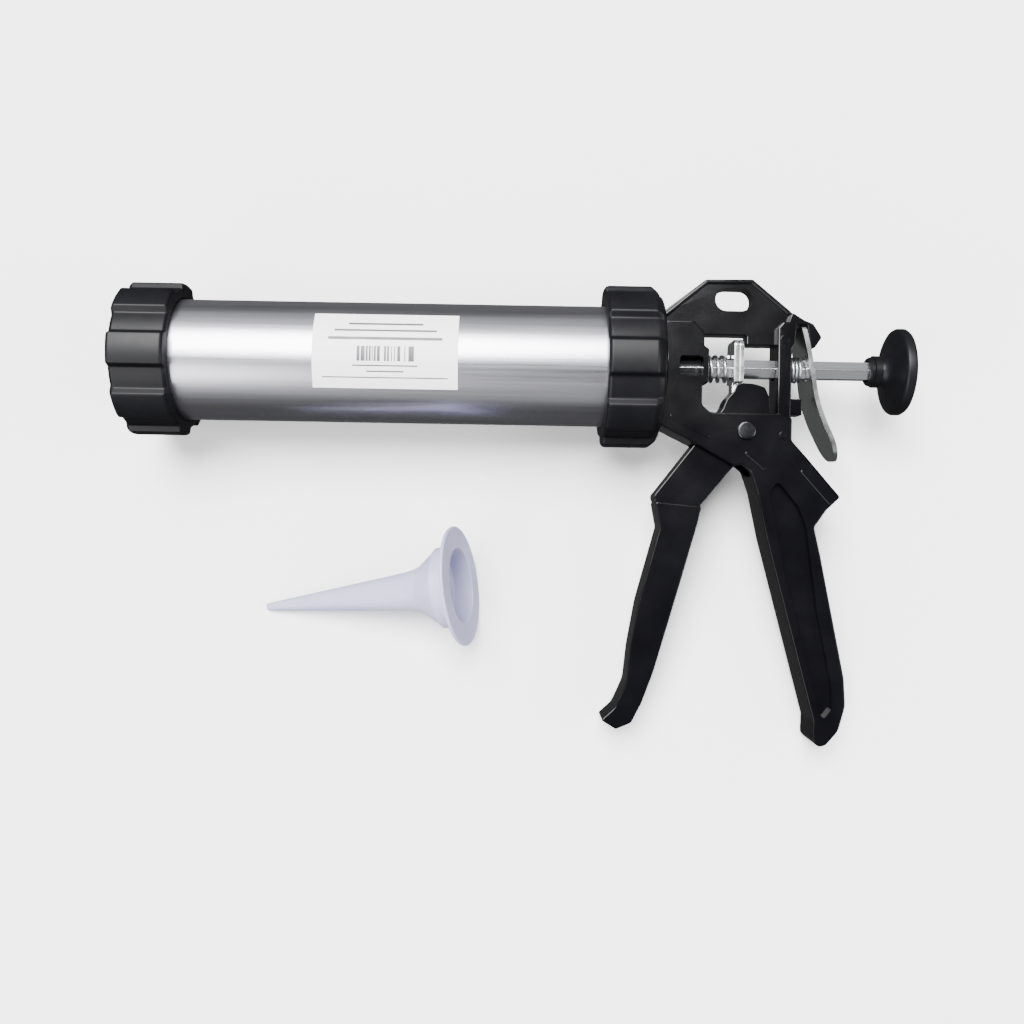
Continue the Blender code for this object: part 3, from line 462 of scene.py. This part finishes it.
def copied(node, width, segments=3, angle=34):
    """A copy of a CAD node in the gun's axes, merged, its flat faces made whole and its edges rounded."""
    piece = bpy.data.objects.new(node + "_fine", frame["nodes"][node].data.copy())
    bpy.context.scene.collection.objects.link(piece)
    piece.data.transform(GUN.inverted())
    only(piece)
    bpy.ops.object.mode_set(mode="EDIT")
    bpy.ops.mesh.select_all(action="SELECT")
    bpy.ops.mesh.remove_doubles(threshold=TUBE_WALL / 200)
    bpy.ops.mesh.dissolve_limited(angle_limit=math.radians(0.5))
    bpy.ops.object.mode_set(mode="OBJECT")
    if width:
        eased(piece, width, segments, angle)
    return piece


def bead(start, end, width, height, level):
    """A raised rib between two points on a face at a level, with round edges."""
    bpy.ops.object.select_all(action="DESELECT")
    first, last = (Vector((x * MM, y * MM, level)) for x, y in (start, end))
    run = last - first
    bpy.ops.mesh.primitive_cube_add(size=1)
    piece = bpy.context.object
    piece.matrix_world = (
        Matrix.Translation((first + last) / 2)
        @ Matrix.Rotation(math.atan2(run.y, run.x), 4, "Z")
        @ Matrix.Diagonal((run.length + width, width, 2 * height, 1))
    )
    bpy.ops.object.transform_apply(location=True, rotation=True, scale=True)
    eased(piece, height * 0.85, 4)
    return piece


def boss(centre, radius, height, level):
    """A low round pad on a face."""
    bpy.ops.object.select_all(action="DESELECT")
    place = (centre[0] * MM, centre[1] * MM, level)
    bpy.ops.mesh.primitive_cylinder_add(vertices=48, radius=radius, depth=2 * height, location=place)
    piece = bpy.context.object
    bpy.ops.object.transform_apply(location=True, rotation=True, scale=True)
    eased(piece, height * 0.45, 3)
    return piece


def joined(piece, others):
    """The piece with the others made part of it."""
    only(piece)
    for other in others:
        other.select_set(True)
    bpy.ops.object.join()
    return piece


details = []
for side in (-1, 1):
    details += [bead(*ends, 0.0020, 0.0008, side * PLATE_HALF) for ends in PLATE_BEADS]
    details += [bead(*ends, 0.0016, 0.0006, side * BLOCK_HALF) for ends in BLOCK_BEADS]
    details.append(boss((60.6, -30.2), 0.0015, 0.0005, side * BLOCK_HALF))
    details.append(boss((61.6, 12.6), 0.0021, 0.0006, side * POST_HALF))
casting = joined(copied("frame_casting", 0.00045), details)
seat(casting)
mounted(casting, "casting", black_enamel, "gun", "black_enamel", "frame_casting")

# ---------------------------------------------------------------- rod bush, trigger pin and clip
# A steel bush pressed into the block carries the rod. The trigger turns on a headed steel pin, held on
# the right side by a snap ring.

steel_tone = {"low": (0.50, 0.51, 0.53), "high": (0.68, 0.70, 0.71)}
rod_steel = finish("rod_steel", DRAWN, roughness=(0.20, 0.34), bump=0.00002, metallic=1.0, **steel_tone)
dark_steel = finish(
    "dark_steel", SKIN, (0.02, 0.02, 0.022), (0.05, 0.05, 0.055), (0.2, 0.32), 0.00002, 1.0
)
bush = copied("rod_bush", 0.0)
seat(bush)
mounted(bush, "bush", rod_steel, "gun", "rod_steel", "rod_bush")
pin = copied("trigger_pin", 0.0002)
seat(pin)
mounted(pin, "pin", dark_steel, "gun", "rod_steel", "trigger_pin")
clip = copied("pin_clip", 0.00012, 2)
seat(clip)
spring_steel = finish(
    "spring_steel", SKIN, (0.36, 0.37, 0.39), (0.56, 0.57, 0.58), (0.22, 0.36), 0.00001, 1.0
)
mounted(clip, "clip", spring_steel, "gun", "spring_steel", "pin_clip")

# ---------------------------------------------------------------- trigger
# Die cast like the frame and enamelled black. Its forked head hangs on the pin between the casting's
# cheeks and pushes the drive plates.

trigger = copied("trigger", 0.0005)
seat(trigger)
mounted(trigger, "trigger_lever", black_enamel, "trigger", "black_enamel", "trigger")

# ---------------------------------------------------------------- drive plates and springs
# Two zinc plated pressings that grip the rod and push it forward, returned by a spring of round wire. A
# lighter spring behind the post keeps the release lever gripping.

zinc_plate = finish(
    "zinc_plate", SKIN, (0.58, 0.60, 0.60), (0.68, 0.70, 0.70), (0.18, 0.26), 0.000005, 1.0,
    fineness={"Grain": 500.0, "Unevenness": 160.0},
)
for node, name in (("drive_plate_front", "front_plate"), ("drive_plate_rear", "rear_plate")):
    plate = copied(node, 0.00025, 2)
    seat(plate)
    mounted(plate, name, zinc_plate, "plates", "zinc_plate", node)


def spring(name, node, wire, turns):
    """Round wire wound about X between the node's ends, with its cut ends closed."""
    low, high = (corner.x - ORIGIN.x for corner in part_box(node))
    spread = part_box(node)[1].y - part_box(node)[0].y
    bpy.ops.object.select_all(action="DESELECT")
    start = low + wire / 2
    bpy.ops.mesh.primitive_circle_add(
        vertices=16, radius=wire / 2, fill_type="NGON", rotation=(math.pi / 2, 0, 0)
    )
    piece = bpy.context.object
    bpy.ops.object.transform_apply(location=True, rotation=True, scale=True)
    piece.data.transform(Matrix.Translation((spread / 2 - wire / 2, 0, 0)))
    steps = round(48 * turns)
    changed(
        piece, "SCREW", axis="Z", angle=2 * math.pi * turns, screw_offset=high - low - wire,
        steps=steps, render_steps=steps, use_merge_vertices=False,
    )
    only(piece)
    bpy.ops.object.mode_set(mode="EDIT")
    bpy.ops.mesh.select_mode(type="EDGE")
    bpy.ops.mesh.select_all(action="SELECT")
    bpy.ops.mesh.remove_doubles(threshold=wire / 1000)
    bpy.ops.mesh.select_all(action="DESELECT")
    bpy.ops.mesh.select_non_manifold()
    bpy.ops.mesh.edge_face_add()
    bpy.ops.mesh.select_all(action="SELECT")
    bpy.ops.mesh.normals_make_consistent(inside=False)
    bpy.ops.object.mode_set(mode="OBJECT")
    upright = Matrix(((0, 0, 1), (1, 0, 0), (0, 1, 0))).to_4x4()
    piece.data.transform(Matrix.Translation((start, 0, 0)) @ upright)
    seat(piece)
    mounted(piece, name, spring_steel, "gun", "spring_steel", node)
    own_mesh(piece)


spring("return_spring", "drive_spring", 0.0015, 3)
spring("grip_spring", "lever_spring", 0.0011, 2.5)

# ---------------------------------------------------------------- release lever
# A strip blanked from zinc plated sheet with a round lower end, bent to an easy curve and pierced for the
# rod. Its top edge sits under the casting's lug.

LEVER_LINE = (
    (69.0, 18.4), (71.4, 8.5), (73.4, -2.1), (75.5, -14.0), (78.7, -23.4), (82.9, -32.6), (86.2, -41.4),
)
LEVER_WIDTH = 0.0235
SHEET = 0.0019
ROD_CORNER = 0.00462
ROD_CLEARANCE = 0.00095
FLAT = 0.0001  # ends of an edge no further apart than this are level

bend = bpy.data.curves.new("bend", "CURVE")
bend.resolution_u = 10
spline = bend.splines.new("BEZIER")
spline.bezier_points.add(len(LEVER_LINE) - 1)
for knot, (x, y) in zip(spline.bezier_points, LEVER_LINE):
    knot.co = (x * MM, y * MM, -LEVER_WIDTH / 2)
    knot.handle_left_type = knot.handle_right_type = "AUTO"
lever = bpy.data.objects.new("lever", bend)
bpy.context.scene.collection.objects.link(lever)
only(lever)
bpy.ops.object.convert(target="MESH")
bpy.ops.object.mode_set(mode="EDIT")
bpy.ops.mesh.select_mode(type="VERT")
bpy.ops.mesh.select_all(action="SELECT")
bpy.ops.mesh.extrude_region_move(TRANSFORM_OT_translate={"value": (0, 0, LEVER_WIDTH)})
bpy.ops.object.mode_set(mode="OBJECT")
changed(lever, "SOLIDIFY", thickness=SHEET, offset=0.0, use_even_offset=True)

top, bottom = LEVER_LINE[0][1] * MM, LEVER_LINE[-1][1] * MM
bpy.ops.object.select_all(action="DESELECT")
bpy.ops.mesh.primitive_cube_add(size=1, location=(0.0775, (top + bottom) / 2, 0))
blank = bpy.context.object
blank.scale = (0.04, top - bottom - 0.0004, LEVER_WIDTH - 0.0002)
bpy.ops.object.transform_apply(location=True, rotation=True, scale=True)
for end, radius, steps in ((bottom, LEVER_WIDTH * 0.47, 14), (top, 0.002, 4)):

    def corner_edge(edge):
        first, last = (blank.data.vertices[index].co for index in edge.vertices)
        level = abs(first.z - last.z) < FLAT and abs(first.y - last.y) < FLAT
        return level and max(abs(first.y - end), abs(last.y - end)) < MM

    chosen(blank, "EDGE", corner_edge)
    bpy.ops.mesh.bevel(offset=radius, segments=steps, affect="EDGES")
    bpy.ops.object.mode_set(mode="OBJECT")
bpy.ops.object.select_all(action="DESELECT")
bpy.ops.mesh.primitive_cylinder_add(
    vertices=64, radius=ROD_CORNER + ROD_CLEARANCE, depth=0.03, location=(0.075, 0, 0),
    rotation=(0, math.pi / 2, 0),
)
drill = bpy.context.object
changed(lever, "BOOLEAN", operation="INTERSECT", solver="EXACT", object=blank)
changed(lever, "BOOLEAN", operation="DIFFERENCE", solver="EXACT", object=drill)
bpy.data.objects.remove(blank)
bpy.data.objects.remove(drill)
eased(lever, 0.0004, 3, 40)
seat(lever)
mounted(lever, "thumb_lever", zinc_plate, "lever", "zinc_plate", "release_lever")

# ---------------------------------------------------------------- rod, piston and knob
# Bright drawn hexagon steel, with the piston clamped on its threaded front end between a plate, a washer
# and a nut, and a black plastic pull knob pressed on behind.

rod = copied("piston_rod", 0.00025)
seat(rod)
mounted(rod, "hexagon_rod", rod_steel, "rod", "rod_steel", "piston_rod")
piston_plastic = finish("piston_plastic", SKIN, (0.62, 0.62, 0.60), (0.74, 0.74, 0.72), (0.4, 0.5), 0.00002)
for node, name, material, slot in (
    ("piston_backplate", "piston_plate", zinc_plate, "zinc_plate"),
    ("piston_cup", "piston_seal", piston_plastic, "piston_plastic"),
    ("piston_washer", "piston_ring", zinc_plate, "zinc_plate"),
    ("piston_nut", "piston_lock", zinc_plate, "zinc_plate"),
):
    piece = copied(node, 0.0003, 2)
    seat(piece)
    mounted(piece, name, material, "rod", slot, node)

knob_front, knob_rear = (corner.x - ORIGIN.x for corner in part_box("knob"))
HUB = 0.0067
SOCKET = 0.0049  # the hole that the rod is pressed into
SOCKET_DEPTH = 0.0102
RIM = 0.0195
rim = knob_front + 0.0115
knob_profile = [
    (knob_front + SOCKET_DEPTH, SOCKET), (knob_front, SOCKET), (knob_front, HUB - 0.0007),
    (knob_front + 0.0007, HUB - 0.0002), (knob_front + 0.0020, HUB - 0.0002),
    (knob_front + 0.0023, HUB + 0.0005), (knob_front + 0.0051, HUB + 0.0005),
    (knob_front + 0.0056, HUB - 0.0004), (knob_front + 0.0072, HUB + 0.0002),
    (knob_front + 0.0084, HUB + 0.0016),
    (knob_front + 0.0093, HUB + 0.0038), (knob_front + 0.0101, HUB + 0.0068), (rim - 0.0004, RIM - 0.0015),
    (rim + 0.0002, RIM - 0.0005), (rim + 0.0011, RIM), (rim + 0.0036, RIM), (rim + 0.0046, RIM - 0.0007),
    (rim + 0.0056, RIM - 0.0036), (rim + 0.0066, RIM - 0.0078), (rim + 0.0073, RIM - 0.0125),
    (knob_rear, 0.0015),
]
knob = turned("knob", knob_profile, solid=True)
seat(knob)
mounted(knob, "pull_knob", black_plastic, "rod", "black_plastic", "knob")

# ---------------------------------------------------------------- nozzle
# A hollow cone with a stepped foot and a flange, moulded in translucent white plastic. It lies loose on
# the rim of its flange and on its tip, which points along -X in its own axes.

NOZZLE_LENGTH = 0.096
FLANGE = TUBE_RADIUS
FOOT = 0.0182
NOZZLE_WALL = 0.0012
TIP = 0.0017
NECK = 0.0104  # where the cone meets the foot
FLANGE_RIM = 0.001
HEADING = math.radians(6.0)
TILT = math.atan2(FLANGE - TIP, NOZZLE_LENGTH - FLANGE_RIM)
nozzle_profile = [
    (-NOZZLE_LENGTH, TIP - 0.0006), (-NOZZLE_LENGTH, TIP), (-0.0255, 0.0088), (-0.0225, 0.0094),
    (-0.0190, NECK), (-0.0102, FOOT - 0.0012), (-0.0094, FOOT), (-0.0034, FOOT), (-0.0020, FOOT + 0.0014),
    (-0.0016, FLANGE - 0.0004), (-FLANGE_RIM, FLANGE), (-0.0004, FLANGE), (0.0, FLANGE - 0.0004),
    (0.0, FOOT - NOZZLE_WALL), (-0.0088, FOOT - NOZZLE_WALL), (-0.0094, FOOT - 2 * NOZZLE_WALL),
    (-0.0186, NECK - NOZZLE_WALL), (-0.0225, 0.0094 - NOZZLE_WALL), (-0.0255, 0.0088 - NOZZLE_WALL),
]
cone = turned("cone", nozzle_profile)
eased(cone, 0.0003, 3, 20)
nozzle_low, nozzle_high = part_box("nozzle")
lean = Matrix.Rotation(HEADING, 4, "Z") @ Matrix.Rotation(-TILT, 4, "Y")
axis = lean.to_3x3() @ ALONG
rim_middle = Vector((
    nozzle_high.x - FLANGE * math.sqrt(1 - axis.x**2),
    (nozzle_low.y + nozzle_high.y) / 2,
    (nozzle_low.z + nozzle_high.z) / 2,
))
seat(cone, Matrix.Translation(rim_middle + axis * 0.0007) @ lean)
nozzle_plastic = finish(
    "nozzle_plastic", SKIN, (0.32, 0.32, 0.46), (0.40, 0.40, 0.56), (0.28, 0.42), 0.00003,
    fineness={"Grain": 500.0, "Unevenness": 70.0}, Subsurface_Weight=0.25, Subsurface_Scale=0.004,
    Subsurface_Radius=(0.8, 0.8, 1.0),
)
mounted(cone, "nozzle_cone", nozzle_plastic, "nozzle", "nozzle_plastic", "nozzle")

# ---------------------------------------------------------------- floor, light and camera
# A pale matt floor in a room with pale walls and a dim ceiling, three broad soft lights, and a camera that
# looks down square onto the gun's left side.

FLOOR_GREY = (0.96, 0.96, 0.96, 1)
CEILING_GREY = (0.10, 0.10, 0.10, 1)
WALL_GREY = (0.55, 0.55, 0.56, 1)
WALL_FOOT, WALL_TOP, CEILING = 0.08, 0.45, 0.75  # heights up the world's sphere
BACKDROP_EXTRA = 2.4  # how much brighter the room is to the camera than to the gun

bpy.ops.object.select_all(action="DESELECT")
bpy.ops.mesh.primitive_plane_add(size=6.0)
floor = bpy.context.object
floor.name = "floor"
pale = bpy.data.materials.new("pale_floor")
pale.use_nodes = True
matt = pale.node_tree.nodes["Principled BSDF"]
matt.inputs["Base Color"].default_value = FLOOR_GREY
matt.inputs["Roughness"].default_value = 0.9
floor.data.materials.append(pale)
floor.visible_glossy = False

camera = bpy.data.objects.new("camera", bpy.data.cameras.new("camera"))
bpy.context.scene.collection.objects.link(camera)
camera.data.sensor_width = 36.0
camera.data.lens = 35.4
CAMERA_PLACE = (-0.0589, -0.0665, 0.4577)
CAMERA_TURN = math.radians(1.0)
camera.matrix_world = GUN @ Matrix.Translation(CAMERA_PLACE) @ Matrix.Rotation(CAMERA_TURN, 4, "Z")
bpy.context.scene.camera = camera


def soft_light(name, towards, spread, strength):
    """A far, broad lamp that shines from a direction given in the gun's axes."""
    light = bpy.data.lights.new(name, "SUN")
    light.angle = math.radians(spread)
    light.energy = strength
    lamp = bpy.data.objects.new(name, light)
    bpy.context.scene.collection.objects.link(lamp)
    lamp.rotation_euler = (TURN @ Vector(towards)).to_track_quat("Z", "Y").to_euler()


soft_light("key", (-0.20, 0.44, 0.87), 40, 12.0)
soft_light("fill", (-0.55, -0.45, 0.70), 40, 3.0)
soft_light("side", (0.75, -0.10, 0.62), 30, 2.0)

world = bpy.data.worlds.new("studio")
world.use_nodes = True
room = world.node_tree
upward = room.nodes.new("ShaderNodeSeparateXYZ")
room.links.new(room.nodes.new("ShaderNodeTexCoord").outputs["Generated"], upward.inputs[0])
walls = room.nodes.new("ShaderNodeValToRGB")
walls.color_ramp.elements[0].position = 0.0
walls.color_ramp.elements[0].color = CEILING_GREY
walls.color_ramp.elements[1].position = CEILING
walls.color_ramp.elements[1].color = CEILING_GREY
for height in (WALL_FOOT, WALL_TOP):
    walls.color_ramp.elements.new(height).color = WALL_GREY
room.links.new(upward.outputs["Z"], walls.inputs["Fac"])
seen = room.nodes.new("ShaderNodeLightPath")
shown = room.nodes.new("ShaderNodeMix")
shown.data_type = "RGBA"
shown.clamp_result = False
shown.inputs["B"].default_value = (1, 1, 1, 1)
room.links.new(seen.outputs["Is Camera Ray"], shown.inputs["Factor"])
room.links.new(walls.outputs["Color"], shown.inputs["A"])
room.links.new(shown.outputs["Result"], room.nodes["Background"].inputs["Color"])
bright = room.nodes.new("ShaderNodeMath")
bright.operation = "MULTIPLY_ADD"
bright.inputs[1].default_value = BACKDROP_EXTRA
bright.inputs[2].default_value = 1.0
room.links.new(seen.outputs["Is Camera Ray"], bright.inputs[0])
room.links.new(bright.outputs[0], room.nodes["Background"].inputs["Strength"])
bpy.context.scene.world = world
